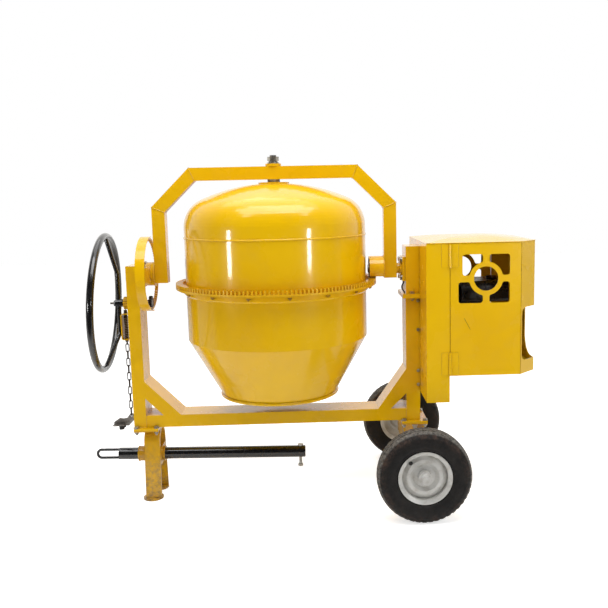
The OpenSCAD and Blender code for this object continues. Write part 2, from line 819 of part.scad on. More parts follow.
module drive_pinion() color(black)
    along_x(pinion_x[0], pinion_x[1]) translate([0, axis_z]) difference() {
        polygon(gear_outline(pinion_teeth, pinion_pitch, 6.8, pinion_pitch - 6.2, pinion_pitch + 5));
        circle(drive_r + 0.02);
    }

// Pulley with two belt grooves, about X
module pulley(r, bore, z) {
    last = groove_x[1] + groove_w;
    along_x(pulley_x, pulley_x + pulley_w) translate([0, z]) difference() {
        circle(r - groove);
        circle(bore);
    }
    for (w = [[0, groove_x[0]], [groove_x[0] + groove_w, groove_x[1]], [last, pulley_w]])
        along_x(pulley_x + w[0], pulley_x + w[1]) translate([0, z]) difference() {
            circle(r);
            circle(bore);
        }
}

module drive_pulley() color(black) pulley(big_pulley_r, drive_r + 0.02, axis_z);

module crank_pulley() color(black) {
    pulley(small_pulley_r, shaft_r + 0.02, crank_z);
    bar_x(pulley_x - 4, 820, shaft_r, crank_z);
}

// Outline of a belt round both pulleys
function belt_outline(extra) =
    let (r1 = big_pulley_r - groove + extra, r2 = small_pulley_r - groove + extra,
         a = asin((r1 - r2) / (axis_z - crank_z)))
    concat(arc([0, axis_z], r1, -a, 180 + a, 32), arc([0, crank_z], r2, 180 + a, 360 - a, 24));

module drive_belts() color("black")
    for (i = [0, 1]) {
        start = pulley_x + groove_x[i] + (groove_w - belt_w) / 2;
        along_x(start, start + belt_w) difference() {
            polygon(belt_outline(10));
            polygon(belt_outline(0.6));
        }
    }

// ---------------------------------------------------------------- engine

// Crankcase, finned cylinder, blower housing and recoil starter
module engine_block() color("dimgray") {
    difference() {
        union() {
            block([800, 930], [-110, 100], [tray_z, 860]);
            block([780, 950], [-100, -60], [tray_z, tray_z + 14]);
            block([780, 950], [50, 90], [tray_z, tray_z + 14]);
            bar_x(930, 985, 118, 776);
            bar_x(985, 1022, 84, 776);
            bar_x(1022, 1030, 30, 776);
            for (z = [860:12:896]) block([806, 924], [-92 + (z - 860) / 3, 82], [z, z + 7]);
            block([816, 914], [-80, 70], [860, 926]);
        }
        bar_x(790, 830, shaft_r + run, crank_z);
    }
}

module fuel_tank() color("black") {
    along_x(850, 1066) polygon(concat(arc([34, 996], 26, 0, 90, 6), arc([-144, 996], 26, 90, 180, 6),
        arc([-150, 946], 20, 180, 270, 6), arc([40, 946], 20, 270, 360, 6)));
    bar_z(1010, -60, 1022, 1036, 24);
}

module air_cleaner() color("black") {
    along_y(-150, -20) polygon(concat(arc([836, 982], 12, 0, 90, 4), arc([804, 970], 24, 90, 180, 6),
        arc([792, 938], 12, 180, 270, 4), [[848, 926]]));
}

module muffler() color("gray") {
    along_x(870, 1040) polygon(concat(arc([180, 960], 20, 0, 90, 5), arc([110, 960], 20, 90, 180, 5),
        arc([110, 890], 20, 180, 270, 5), arc([180, 890], 20, 270, 360, 5)));
    bar_x(1040, 1062, 12, 925, 150);
    block([840, 870], [82, 118], [880, 902]);
}

module engine_tray() color(yellow)
    block([cabinet_x + sheet, cabinet_end - sheet], [-200, 200], [tray_z - 6, tray_z]);

// ---------------------------------------------------------------- cabinet

// Inner wall and the fixed panels next to it, folded from one sheet, with a stop lip behind each door
module cabinet_wall() color(yellow)
    difference() {
        union() {
            translate([0, 0, panel_z]) linear_extrude(cabinet_top - panel_z) difference() {
                translate([cabinet_x, -cabinet_half])
                    square([hinge_x - 1 - cabinet_x, 2 * cabinet_half]);
                translate([cabinet_x + sheet, sheet - cabinet_half])
                    square([200, 2 * (cabinet_half - sheet)]);
            }
            for (side = [0, 1]) mirror([0, side, 0]) translate([0, -cabinet_half, 0]) {
                block([hinge_x - 20, hinge_x - 1], [sheet, 2 * sheet], [door_z, cabinet_top]);
                block([hinge_x - 20, hinge_x + 14], [sheet + 0.4, 2 * sheet], [door_z, cabinet_top]);
            }
        }
        bar_x(cabinet_x - 1, cabinet_x + 5, sleeve_r + 3, axis_z);
    }

// Plan of the cabinet, d inside its outer face
function cabinet_plan(d, from_x) = let (k = d * tan(22.5), y = cabinet_half)
    [[from_x, -y + d], [fold_x - k, -y + d], [cabinet_end - d, -y + corner_cut + k],
     [cabinet_end - d, y - corner_cut - k], [fold_x - k, y - d], [from_x, y - d]];

module cabinet_roof() color(yellow)
    translate([0, 0, cabinet_top]) linear_extrude(sheet) polygon(cabinet_plan(-2, cabinet_x - 1));

// Far end with cut corners, and an opening at the front corner
module cabinet_end_panel() color(yellow) {
    outer = cabinet_plan(0, fold_x);
    inner = cabinet_plan(sheet, fold_x);
    difference() {
        translate([0, 0, door_z]) linear_extrude(cabinet_top - door_z)
            polygon(concat([for (i = [1:4]) outer[i]], [for (i = [4:-1:1]) inner[i]]));
        along_x(fold_x - 20, cabinet_end + 5) polygon(concat(
            arc([-259, 887], 26, 90, 180, 5), arc([-259, 698], 26, 180, 270, 5),
            arc([-156, 762], 90, 270, 360, 10), arc([-92, 887], 26, 0, 90, 5)));
    }
}

// One of the four openings round the vent's ring, in the quadrant of positive u and v
module vent_quadrant(u, v) {
    f = 9;
    s = vent_strut;
    c = sqrt(pow(vent_ring + f, 2) - pow(s + f, 2));
    lean = atan2(s + f, c);
    polygon(concat(arc([c, s + f], f, 180 + lean, 270, 5), arc([u - 12, s + 12], 12, 270, 360, 5),
        arc([u - 12, v - 12], 12, 0, 90, 5), arc([s + 12, v - 12], 12, 90, 180, 5),
        arc([s + f, c], f, 180, 270 - lean, 5), arc([0, 0], vent_ring, 90 - lean, lean, 10)));
}

module vent_cuts() translate(vent) {
    circle(vent_r);
    for (m = [0, 1], n = [0, 1]) mirror([m, 0]) mirror([0, n]) vent_quadrant(m * n == 1 ? 123 : 105, 108);
}

// Door, its hinge leaves and their middle knuckles
module door() {
    along_y(-cabinet_half, sheet - cabinet_half) difference() {
        translate([hinge_x + 2.5, door_z]) square([fold_x - hinge_x - 4.5, cabinet_top - door_z - 1]);
        vent_cuts();
    }
    for (z = hinge_zs) {
        block([hinge_x + leaf_gap, hinge_x + 36], [-cabinet_half - 3, -cabinet_half], [z, z + hinge_h]);
        difference() {
            union() {
                bar_z(hinge_x, -hinge_y, z + hinge_h / 3 + 0.3, z + 2 * hinge_h / 3 - 0.3, hinge_r);
                block([hinge_x, hinge_x + leaf_gap + 0.2], [-cabinet_half - 3, -cabinet_half],
                    [z + hinge_h / 3 + 0.3, z + 2 * hinge_h / 3 - 0.3]);
            }
            bar_z(hinge_x, -hinge_y, z, z + hinge_h, 3 + run);
        }
    }
}

module front_door() color(yellow) door();

module rear_door() color(yellow) mirror([0, 1, 0]) door();

// Fixed leaves, outer knuckles and pins of the four hinges
module door_hinges() color(yellow)
    for (side = [0, 1], z = hinge_zs) mirror([0, side, 0]) {
        block([hinge_x - 36, hinge_x - leaf_gap], [-cabinet_half - 3, -cabinet_half], [z, z + hinge_h]);
        for (k = [0, 2]) {
            bar_z(hinge_x, -hinge_y, z + k * hinge_h / 3, z + (k + 1) * hinge_h / 3, hinge_r);
            block([hinge_x - leaf_gap - 0.2, hinge_x], [-cabinet_half - 3, -cabinet_half],
                [z + k * hinge_h / 3, z + (k + 1) * hinge_h / 3]);
        }
        bar_z(hinge_x, -hinge_y, z - 2, z + hinge_h + 2, 3);
    }

// ---------------------------------------------------------------- wheels

// Places a wheel's parts, drawn about Y with the outer face towards -Y
module wheel_place(side) mirror([0, side > 0 ? 1 : 0, 0]) translate([axle_x, -track / 2, tyre_r])
    rotate([90, 0, 0]) children();

// Closed oval with flattened sides, as [radius, offset across the tyre]
function oval(half_r, half_w, mid_r) = [for (i = [0:47]) let (a = 7.5 * i, e = 2 / 2.7)
    [mid_r + half_r * sign(cos(a)) * pow(abs(cos(a)), e), half_w * sign(sin(a)) * pow(abs(sin(a)), e)]];

module tyre() color("darkslategray")
    rotate_extrude() difference() {
        polygon(oval(tyre_r - 150, tyre_w / 2, 150));
        polygon(oval(tyre_r - 160, tyre_w / 2 - 9, 150));
        for (side = [-1, 1]) polygon([[0, 0], [104, 0], [104, side * 37.8], [118.4, side * 42.8],
            [118.4, side * 80], [0, side * 80]]);
    }

// Barrel with two lips, dished disc, hub and cap
module rim() color(steel) {
    t = 3;
    half = 46;
    rotate_extrude() polygon([[118, -half], [118, -half + t], [103.9, -half + 8], [103.9, half - 8],
        [118, half - t], [118, half], [115, half], [100.5, half - 9], [100.5, -half + 9], [115, -half]]);
    rotate_extrude() polygon([[100.6, 6], [76, 24], [66, 24], [50, 8], [29, 8], [29, 12],
        [48, 12], [64, 28], [78, 28], [100.6, 12]]);
    difference() {
        translate([0, 0, -44]) cylinder(r = 29.2, h = 88);
        translate([0, 0, -45]) cylinder(r = shaft_r + run, h = 92);
    }
    translate([0, 0, 47]) cylinder(r = 17, h = 13);
    rotate_extrude() polygon([[shaft_r + 2, 43.9], [22, 43.9], [17, 52], [shaft_r + 2, 52]]);
}

module front_tyre() wheel_place(-1) tyre();
module rear_tyre() wheel_place(1) tyre();
module front_rim() wheel_place(-1) rim();
module rear_rim() wheel_place(1) rim();

// ---------------------------------------------------------------- tow pole

module tow_pole() color(black)
    pole_frame() {
        tip = -901;
        rod = 6.5;
        loop_r = pole_r - rod - 2;
        difference() {
            bar_x(-789, pole_end, pole_r, 0);
            bar_x(-781, pole_end + 1, pole_r - 4, 0);
            bar_z(90, 0, -50, 50, 7 + bolt_gap);
        }
        for (side = [-1, 1]) bar_x(tip + rod + loop_r, -788, rod, side * loop_r);
        translate([tip + rod + loop_r, 0, 0]) rotate([90, 0, 0]) rotate([0, 0, 90])
            rotate_extrude(angle = 180) translate([loop_r, 0]) circle(rod, $fn = 32);
    }

// Stop bolt that keeps the pole in its socket
module tow_bolt() color(steel)
    pole_frame() {
        bar_z(90, 0, -74, pole_r + 1, 7);
        translate([90, 0, pole_r + 0.5]) cylinder(r = 13, h = 9, $fn = 6);
        bar_z(90, 0, -66, -62, 12);
        translate([90, 0, -74]) cylinder(r = 12, h = 8, $fn = 6);
    }

at_drum() base_beam();
at_drum() left_post();
at_drum() right_post();
at_drum() frame_braces();
at_drum() stand_leg();
at_drum() tow_socket();
at_drum() axle_bracket();
at_drum() axle();
at_drum() bearing_pedestal();
at_drum() trunnion_bearings();
at_drum() frame_bolts();
at_drum() tilt_guard();
at_drum() lock_housing();
at_drum() grease_hose();
at_drum() hand_wheel();
at_drum() hand_wheel_nut();
at_drum() tilt_shaft();
at_drum() tilt_pinion();
at_drum() lock_plunger();
at_drum() lock_spring();
at_drum() lock_chain();
at_drum() foot_pedal();
at_drum() pedal_pad();
at_drum() yoke_top_bar();
at_drum() yoke_shoulders();
at_drum() yoke_legs();
at_drum() left_trunnion();
at_drum() right_trunnion();
at_drum() pinion_guard();
at_drum() tilt_gear();
at_drum() drum_spindle();
at_drum() spindle_nut();
at_drum() drum_hub();
at_drum() drum_bowl();
at_drum() drum_cone();
at_drum() ring_gear();
at_drum() ring_bolts();
at_drum() mixing_blades();
at_drum() drive_shaft();
at_drum() drive_pinion();
at_drum() drive_pulley();
at_drum() crank_pulley();
at_drum() drive_belts();
at_drum() engine_block();
at_drum() fuel_tank();
at_drum() air_cleaner();
at_drum() muffler();
at_drum() engine_tray();
at_drum() cabinet_wall();
at_drum() cabinet_roof();
at_drum() cabinet_end_panel();
at_drum() front_door();
at_drum() rear_door();
at_drum() door_hinges();
at_drum() front_tyre();
at_drum() rear_tyre();
at_drum() front_rim();
at_drum() rear_rim();
at_drum() tow_pole();
at_drum() tow_bolt();
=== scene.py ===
"""Looks for the towable concrete mixer: materials, tyres, roof, welds, small fasteners, lights and camera."""
import math

import bmesh
import bpy
from mathutils import Matrix, Vector, noise


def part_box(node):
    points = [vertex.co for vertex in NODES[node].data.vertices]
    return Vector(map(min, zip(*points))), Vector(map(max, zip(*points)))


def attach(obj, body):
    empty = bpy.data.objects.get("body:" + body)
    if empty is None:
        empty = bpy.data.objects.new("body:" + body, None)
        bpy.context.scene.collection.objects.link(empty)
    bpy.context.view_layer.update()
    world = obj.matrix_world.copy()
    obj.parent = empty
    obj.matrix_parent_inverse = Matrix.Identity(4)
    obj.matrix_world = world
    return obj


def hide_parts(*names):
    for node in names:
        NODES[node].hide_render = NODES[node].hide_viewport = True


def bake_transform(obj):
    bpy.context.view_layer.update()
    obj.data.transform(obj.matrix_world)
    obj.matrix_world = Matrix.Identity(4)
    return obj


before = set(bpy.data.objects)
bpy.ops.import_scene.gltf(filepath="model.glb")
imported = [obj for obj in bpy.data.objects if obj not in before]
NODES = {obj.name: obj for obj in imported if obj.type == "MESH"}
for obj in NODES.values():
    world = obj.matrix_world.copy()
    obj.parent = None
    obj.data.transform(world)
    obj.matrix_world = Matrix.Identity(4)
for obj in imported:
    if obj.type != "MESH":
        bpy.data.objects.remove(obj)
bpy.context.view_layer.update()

MM = 0.001


def middle(node):
    """Centre of a CAD node's box."""
    low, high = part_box(node)
    return (low + high) / 2


# The drum's axis and the trunnion axis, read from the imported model. The studio is laid out round the drum.
DRUM_X = middle("drum_bowl").x
AXIS_Z = middle("left_trunnion").z


# ------------------------------------------------------------------ materials

class Look:
    """One node material under construction. Values that are even all over go straight on the shader."""

    def __init__(self, name, **even):
        self.material = bpy.data.materials.new(name)
        self.material.use_nodes = True
        self.tree = self.material.node_tree
        self.tree.nodes.clear()
        self.output = self.tree.nodes.new("ShaderNodeOutputMaterial")
        self.shader = self.tree.nodes.new("ShaderNodeBsdfPrincipled")
        self.wire(self.shader.outputs[0], self.output.inputs["Surface"])
        for socket, value in even.items():
            self.shader.inputs[socket.replace("_", " ")].default_value = value
        self.place = self.tree.nodes.new("ShaderNodeTexCoord")

    def wire(self, source, target):
        self.tree.links.new(source, target)

    def put(self, socket, source):
        self.wire(source, self.shader.inputs[socket])

    def feed(self, node, index, value):
        if isinstance(value, bpy.types.NodeSocket):
            self.wire(value, node.inputs[index])
        else:
            node.inputs[index].default_value = value

    def stretched(self, scale, turn=(0, 0, 0)):
        node = self.tree.nodes.new("ShaderNodeMapping")
        node.inputs["Scale"].default_value = scale
        node.inputs["Rotation"].default_value = turn
        self.wire(self.place.outputs["Object"], node.inputs["Vector"])
        return node.outputs[0]

    def noise(self, scale, detail=3.0, rough=0.55, along=None, distort=0.0):
        node = self.tree.nodes.new("ShaderNodeTexNoise")
        node.inputs["Scale"].default_value = scale
        node.inputs["Detail"].default_value = detail
        node.inputs["Roughness"].default_value = rough
        node.inputs["Distortion"].default_value = distort
        self.wire(along or self.place.outputs["Object"], node.inputs["Vector"])
        return node.outputs["Fac"]

    def ramp(self, source, low, high, start=0.0, end=1.0):
        """Maps low..high to start..end and clamps."""
        node = self.tree.nodes.new("ShaderNodeMapRange")
        for index, value in enumerate((low, high, start, end), 1):
            node.inputs[index].default_value = value
        self.wire(source, node.inputs[0])
        return node.outputs[0]

    def math(self, operation, a, b=0.0):
        node = self.tree.nodes.new("ShaderNodeMath")
        node.operation = operation
        node.use_clamp = True
        self.feed(node, 0, a)
        self.feed(node, 1, b)
        return node.outputs[0]

    def blend(self, mask, a, b):
        """Colour a where mask is 0 and b where it is 1."""
        node = self.tree.nodes.new("ShaderNodeMix")
        node.data_type = "RGBA"
        self.feed(node, 0, mask)
        self.feed(node, 6, a if isinstance(a, bpy.types.NodeSocket) else (*a, 1))
        self.feed(node, 7, b if isinstance(b, bpy.types.NodeSocket) else (*b, 1))
        return node.outputs[2]

    def part(self, socket, axis):
        node = self.tree.nodes.new("ShaderNodeSeparateXYZ")
        self.wire(self.place.outputs[socket], node.inputs[0])
        return node.outputs[axis]

    def vector(self, operation, a, b):
        node = self.tree.nodes.new("ShaderNodeVectorMath")
        node.operation = operation
        for index, value in enumerate((a, b)):
            self.feed(node, index, value)
        return node

    def off_axis(self, point, across):
        """Distance from a line through a point. across is 0 along the line's own axis and 1 elsewhere."""
        away = self.vector("SUBTRACT", self.place.outputs["Object"], point)
        return self.vector("LENGTH", self.vector("MULTIPLY", away.outputs[0], across).outputs[0],
                           (0, 0, 0)).outputs["Value"]

    def edges(self, radius):
        """1 on sharp edges and 0 on flat faces, from the difference that rounding would make."""
        soft = self.tree.nodes.new("ShaderNodeBevel")
        soft.samples = 4
        soft.inputs["Radius"].default_value = radius
        plain = self.tree.nodes.new("ShaderNodeNewGeometry")
        dot = self.tree.nodes.new("ShaderNodeVectorMath")
        dot.operation = "DOT_PRODUCT"
        self.wire(soft.outputs[0], dot.inputs[0])
        self.wire(plain.outputs["Normal"], dot.inputs[1])
        return self.ramp(dot.outputs["Value"], 0.995, 0.86)

    def relief(self, height, depth, strength=1.0, under=None):
        node = self.tree.nodes.new("ShaderNodeBump")
        node.inputs["Strength"].default_value = strength
        node.inputs["Distance"].default_value = depth
        self.wire(height, node.inputs["Height"])
        if under:
            self.wire(under, node.inputs["Normal"])
        return node.outputs[0]

    def finish_normal(self, normal):
        self.put("Normal", normal)

    def paint_crevice_shade(self, colour, amount=0.55, reach=14 * MM):
        """Painted shade in narrow gaps and corners: ambient occlusion darkens the colour where close
        neighbours would block light.
        """
        shade = self.tree.nodes.new("ShaderNodeAmbientOcclusion")
        shade.samples = 4
        shade.inputs["Distance"].default_value = reach
        # Painted shade: the colour turns dark brown where ambient occlusion falls.
        painted_shade = self.ramp(shade.outputs["AO"], 0.25, 0.8, amount, 0.0)
        self.put("Base Color", self.blend(painted_shade, colour, (0.16, 0.07, 0.01)))


def machine_paint(name, base, deep, dirt=0.25, chips=0.5, gloss=0.2, crevice_shading=0.55, scratch=None):
    """Sprayed gloss paint with orange peel, faint runs of shade, dust in places, chipped edges and painted
    shade in gaps and corners.
    """
    look = Look(name, Coat_Weight=0.8, Coat_Roughness=0.08, Specular_IOR_Level=0.2)
    shade = look.ramp(look.noise(2.2, 4), 0.35, 0.7)
    colour = look.blend(shade, base, deep)
    dust = look.math("MULTIPLY", look.ramp(look.noise(9, 6, 0.7), 0.48, 0.75), dirt)
    colour = look.blend(dust, colour, (0.46, 0.33, 0.17))
    low = look.ramp(look.part("Object", 2), 0.32, 0.02)
    mud = look.math("MULTIPLY", low, look.ramp(look.noise(38, 6, 0.75), 0.42, 0.62))
    colour = look.blend(look.math("MULTIPLY", mud, 0.8), colour, (0.17, 0.12, 0.075))
    worn = look.math("MULTIPLY", look.edges(2.5 * MM), look.ramp(look.noise(60, 5, 0.7), 0.56, 0.66))
    specks = look.ramp(look.noise(130, 3, 0.6), 0.745, 0.77)
    bare = look.math("MULTIPLY", look.math("MAXIMUM", worn, specks), chips)
    colour = look.blend(bare, colour, (0.10, 0.075, 0.05))
    if scratch:
        colour = look.blend(scratch_mask(look, *scratch), colour, (0.11, 0.045, 0.004))
    rough = look.ramp(look.noise(5, 4), 0.3, 0.75, gloss, gloss + 0.14)
    rough = look.math("ADD", rough, look.math("MULTIPLY", look.math("MAXIMUM", mud, dust), 0.35))
    look.put("Roughness", rough)
    peel = look.relief(look.noise(420, 2, 0.4), 0.25 * MM, 0.12)
    wavy = look.relief(look.noise(7, 2, 0.4), 2.2 * MM, 0.35, under=peel)
    look.finish_normal(wavy)
    # Painted shade darkens the colour in gaps and corners.
    look.paint_crevice_shade(colour, crevice_shading)
    return look.material


def scratch_mask(look, start, end):
    """1 on a thin scratch that runs between two (x, z) points and fades out at its lower end."""
    along = Vector((end[0] - start[0], 0, end[1] - start[1]))
    length = along.length
    along.normalize()
    aside = Vector((along.z, 0, -along.x))
    away = look.vector("SUBTRACT", look.place.outputs["Object"], (start[0], 0, start[1])).outputs[0]
    run = look.vector("DOT_PRODUCT", away, along).outputs["Value"]
    off = look.tree.nodes.new("ShaderNodeMath")
    off.operation = "ABSOLUTE"
    look.feed(off, 0, look.vector("DOT_PRODUCT", away, aside).outputs["Value"])
    thin = look.ramp(off.outputs[0], 1.5 * MM, 0.7 * MM)
    inside = look.math("MULTIPLY", look.ramp(run, 0.0, 6 * MM), look.ramp(run, length, length - 12 * MM))
    return look.math("MULTIPLY", look.math("MULTIPLY", thin, inside), 0.85)


def collared_shaft(name):
    """Worn steel shaft with a painted collar, told apart by distance from the shaft's axis."""
    shaft = middle("tilt_shaft")
    look = Look(name)
    paint = look.ramp(look.off_axis((0, 0, shaft.z), (0, 1, 1)), 13.5 * MM, 14 * MM)
    stain = look.ramp(look.noise(24, 5, 0.7), 0.42, 0.68)
    steel = look.blend(stain, (0.30, 0.28, 0.26), (0.13, 0.11, 0.09))
    yellow = look.blend(look.ramp(look.noise(60, 5), 0.5, 0.7), (0.84, 0.49, 0.004), (0.55, 0.27, 0.01))
    look.put("Metallic", look.ramp(paint, 0.0, 1.0, 1.0, 0.0))
    look.put("Roughness", look.ramp(look.noise(90, 4), 0.3, 0.7, 0.3, 0.5))
    look.finish_normal(look.relief(look.noise(160, 4, 0.6), 0.2 * MM, 0.4))
    # Painted shade darkens the colour in gaps and corners.
    look.paint_crevice_shade(look.blend(paint, steel, yellow))
    return look.material


def plated(name, base, dark, rough=0.32, rust=0.2):
    """Plated or bare steel with fine scratches, stains and a little rust."""
    look = Look(name, Metallic=1.0)
    stain = look.ramp(look.noise(24, 5, 0.7), 0.42, 0.68)
    colour = look.blend(stain, base, dark)
    spots = look.math("MULTIPLY", look.ramp(look.noise(70, 6, 0.75), 0.6, 0.72), rust)
    look.put("Base Color", look.blend(spots, colour, (0.19, 0.085, 0.035)))
    look.put("Metallic", look.ramp(spots, 0.0, 0.6, 1.0, 0.3))
    look.put("Roughness", look.ramp(look.noise(90, 4), 0.3, 0.7, rough, rough + 0.22))
    scratch = look.noise(40, 5, 0.6, along=look.stretched((14, 1, 1), (0.3, 0.2, 0.4)))
    look.finish_normal(look.relief(scratch, 0.15 * MM, 0.4))
    return look.material


def black_paint(name):
    """Gloss black brushed over tube, with thin dusty patches and rubbed spots."""
    look = Look(name, Coat_Weight=1.0, Coat_Roughness=0.05)
    dust = look.math("MULTIPLY", look.ramp(look.noise(16, 6, 0.7), 0.54, 0.76), 0.2)
    colour = look.blend(dust, (0.004, 0.004, 0.005), (0.06, 0.053, 0.045))
    rub = look.ramp(look.noise(95, 4, 0.7), 0.69, 0.74)
    look.put("Base Color", look.blend(look.math("MULTIPLY", rub, 0.5), colour, (0.13, 0.11, 0.09)))
    look.put("Roughness", look.ramp(look.noise(30, 4), 0.3, 0.7, 0.16, 0.34))
    look.finish_normal(look.relief(look.noise(150, 3), 0.2 * MM, 0.18))
    return look.material


def moulded(name, base, pale, rough=0.45):
    """Black moulded plastic or cast cowling with a fine grain and settled dust."""
    look = Look(name)
    dust = look.math("MULTIPLY", look.ramp(look.noise(20, 6, 0.7), 0.45, 0.8), 0.6)
    look.put("Base Color", look.blend(dust, base, pale))
    look.put("Roughness", look.ramp(look.noise(35, 4), 0.3, 0.7, rough - 0.1, rough + 0.15))
    look.finish_normal(look.relief(look.noise(600, 2), 0.2 * MM, 0.5))
    return look.material


def tyre_rubber(name):
    """Grey road dust on the tread, brown scuffs on the shoulders and darker sidewalls."""
    look = Look(name, Specular_IOR_Level=0.3)
    radius = radial_distance(look)
    tread = look.ramp(radius, 0.194, 0.200)
    scuff = look.math("MULTIPLY", look.ramp(radius, 0.165, 0.185), look.ramp(radius, 0.204, 0.193))
    grain = look.ramp(look.noise(70, 6, 0.8), 0.35, 0.7)
    cloudy = look.ramp(look.noise(14, 5, 0.65), 0.4, 0.7)
    wall = look.blend(cloudy, (0.009, 0.008, 0.008), (0.021, 0.018, 0.016))
    colour = look.blend(look.math("MULTIPLY", tread, grain), wall, (0.27, 0.255, 0.23))
    brown = look.math("MULTIPLY", scuff, look.ramp(look.noise(30, 6, 0.8), 0.46, 0.66))
    colour = look.blend(look.math("MULTIPLY", brown, 0.75), colour, (0.075, 0.043, 0.030))
    specks = look.ramp(look.noise(260, 3, 0.7), 0.68, 0.74)
    look.put("Base Color", look.blend(look.math("MULTIPLY", specks, 0.3), colour, (0.22, 0.19, 0.17)))
    look.put("Roughness", look.ramp(grain, 0.0, 1.0, 0.5, 0.8))
    look.finish_normal(look.relief(look.noise(240, 5, 0.7), 0.5 * MM, 0.6))
    return look.material


def radial_distance(look):
    """Distance from the wheels' axle line."""
    axle = middle("front_tyre")
    return look.off_axis((axle.x, 0, axle.z), (1, 0, 1))


def silver_paint(name):
    """Silver lacquer of the rims, with brake dust and grime in places."""
    look = Look(name, Metallic=0.3, Coat_Weight=0.2)
    grime = look.math("MULTIPLY", look.ramp(look.noise(28, 6, 0.7), 0.46, 0.75), 0.5)
    colour = look.blend(grime, (0.66, 0.655, 0.63), (0.30, 0.26, 0.20))
    look.put("Base Color", colour)
    look.put("Roughness", look.ramp(look.noise(60, 4), 0.3, 0.7, 0.3, 0.5))
    look.finish_normal(look.relief(look.noise(300, 3), 0.3 * MM, 0.35))
    return look.material


YELLOW = machine_paint("yellow_paint", (0.88, 0.53, 0.001), (0.83, 0.47, 0.001), dirt=0.06, chips=0.35)
DOOR_YELLOW = machine_paint("door_yellow_paint", (0.88, 0.53, 0.001), (0.83, 0.47, 0.001),
                            dirt=0.06, chips=0.35, scratch=((DRUM_X + 0.836, 0.876), (DRUM_X + 0.867, 0.818)))
WORN_YELLOW = machine_paint("worn_yellow_paint", (0.78, 0.43, 0.004), (0.60, 0.30, 0.006),
                            dirt=0.5, chips=0.95, gloss=0.34)
# The gear's teeth get weaker painted shade in their gaps.
GEAR_YELLOW = machine_paint("gear_yellow_paint", (0.84, 0.49, 0.008), (0.74, 0.40, 0.01),
                            dirt=0.2, chips=0.5, crevice_shading=0.3)
DARK_BOLT = machine_paint("oily_bolt_paint", (0.50, 0.27, 0.01), (0.26, 0.13, 0.01),
                          dirt=0.4, chips=0.8, gloss=0.36)
WELD = machine_paint("weld_paint", (0.86, 0.53, 0.03), (0.80, 0.46, 0.02), dirt=0.2, chips=0.3, gloss=0.3)
BLACK = black_paint("black_paint")
ZINC = plated("zinc_plate", (0.62, 0.61, 0.57), (0.33, 0.31, 0.27), rust=0.25)
STEEL = plated("bare_steel", (0.42, 0.40, 0.38), (0.20, 0.18, 0.16), 0.38, rust=0.5)
DARK_STEEL = plated("dark_steel", (0.11, 0.10, 0.095), (0.05, 0.045, 0.04), 0.4, rust=0.45)
COLLARED = collared_shaft("collared_shaft")
CAST = moulded("cast_iron", (0.035, 0.034, 0.033), (0.12, 0.10, 0.08), 0.5)
COWL = moulded("engine_cowl", (0.014, 0.014, 0.015), (0.11, 0.10, 0.09), 0.4)
TANK = moulded("fuel_tank_plastic", (0.012, 0.012, 0.013), (0.07, 0.065, 0.06), 0.28)
RUBBER = moulded("black_rubber", (0.016, 0.016, 0.016), (0.06, 0.055, 0.05), 0.6)
TYRE = tyre_rubber("tyre_rubber")
SILVER = silver_paint("rim_silver")

CAD_LOOKS = {
    DOOR_YELLOW: ["front_door"],
    WORN_YELLOW: ["stand_leg", "tow_socket", "axle_bracket", "axle"],
    GEAR_YELLOW: ["ring_gear", "tilt_gear"],
    BLACK: ["hand_wheel", "hand_wheel_nut", "tow_pole"],
    ZINC: ["frame_bolts", "spindle_nut", "tow_bolt"],
    DARK_BOLT: ["ring_bolts"],
    COLLARED: ["tilt_shaft"],
    STEEL: ["drum_spindle", "drive_shaft", "foot_pedal", "lock_spring"],
    DARK_STEEL: ["tilt_pinion", "lock_plunger", "lock_chain", "drive_pinion", "muffler"],
    CAST: ["drive_pulley", "crank_pulley"],
    COWL: ["engine_block", "air_cleaner"],
    TANK: ["fuel_tank"],
    RUBBER: ["grease_hose", "pedal_pad", "drive_belts"],
    TYRE: ["front_tyre", "rear_tyre"],
    SILVER: ["front_rim", "rear_rim"],
}


def dress_cad():
    """Gives every CAD node its material, and yellow paint to all that are not listed."""
    chosen = {node: look for look, names in CAD_LOOKS.items() for node in names}
    for name, obj in NODES.items():
        obj.data.materials.clear()
        obj.data.materials.append(chosen.get(name, YELLOW))


# ------------------------------------------------------------------ mesh helpers

def piece(name, mesh, material, body, smooth=True):
    """Shows a mesh with its material, riding on a body."""
    obj = bpy.data.objects.new(name, mesh)
    bpy.context.scene.collection.objects.link(obj)
    mesh.materials.append(material)
    for face in mesh.polygons:
        face.use_smooth = smooth
    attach(obj, body)
    return obj


def mesh_from(bm, name):
    """Mesh with outward normals from a bmesh, which is freed."""
    bmesh.ops.recalc_face_normals(bm, faces=bm.faces)
    mesh = bpy.data.meshes.new(name)
    bm.to_mesh(mesh)
    bm.free()
    return mesh


def lathe(bm, profile, steps, frame_matrix, wobble=None):
    """Turns (radius, height) points about local Z. wobble(index, angle) changes a point's radius."""
    rings = []
    for index, (radius, height) in enumerate(profile):
        ring = []
        for k in range(steps):
            angle = 2 * math.pi * k / steps
            r = radius + (wobble(index, k) if wobble else 0)
            point = Vector((r * math.cos(angle), r * math.sin(angle), height))
            ring.append(bm.verts.new(frame_matrix @ point))
        rings.append(ring)
    for low, high in zip(rings, rings[1:]):
        for k in range(steps):
            m = (k + 1) % steps
            bm.faces.new((low[k], low[m], high[m], high[k]))
    return rings


def towards(axis):
    """Rotation that takes local Z to the given direction."""
    return Vector(axis).to_track_quat("Z", "Y").to_matrix().to_4x4()


